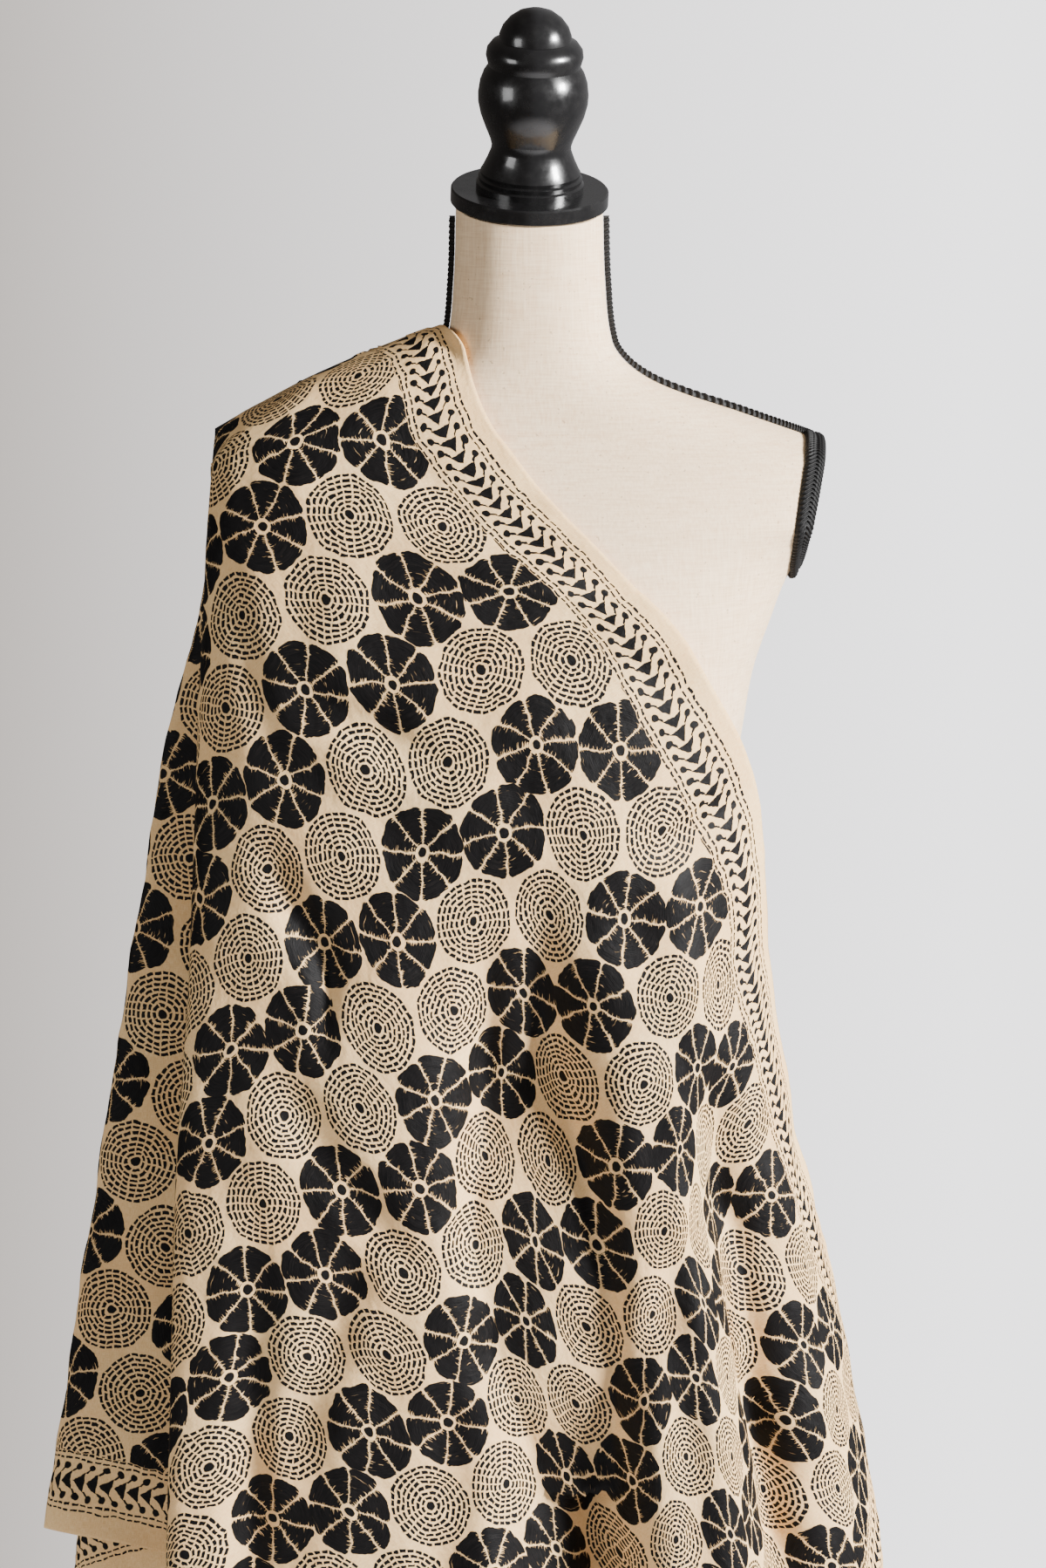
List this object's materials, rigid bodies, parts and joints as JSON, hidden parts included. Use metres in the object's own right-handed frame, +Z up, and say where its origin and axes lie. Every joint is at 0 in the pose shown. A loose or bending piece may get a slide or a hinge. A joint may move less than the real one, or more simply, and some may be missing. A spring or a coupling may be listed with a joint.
{
  "type": "dupatta worn over one shoulder of a limbless dress form on a round-base stand",
  "caption": "Black-on-natural kantha dupatta draped over the left shoulder of a limbless linen dress form with black trim, turned neck cap, pole and round base.",
  "frame": {"origin": "middle of the flat underside of the round base", "axes": "+X to the viewer's right as one faces the form, -Y to the front where the viewer stands, +Z up along the pole"},
  "size_m": [0.5591, 0.41, 1.7031],
  "materials": {
    "kantha_cotton_silk": "matte",
    "linen_cover": "matte",
    "black_braid": "matte",
    "black_lacquer": "gloss",
    "black_metal": "satin"
  },
  "bodies": {
    "root": {"front_fall": "kantha_cotton_silk", "side_fall": "kantha_cotton_silk", "back_fall": "kantha_cotton_silk", "torso": "linen_cover", "shoulder_braid_right": "black_braid", "arm_braid_right": "black_braid", "shoulder_braid_left": "black_braid", "arm_braid_left": "black_braid", "neck_cap": "black_lacquer", "pole": "black_metal", "base": "black_metal"}
  },
  "joints": []
}
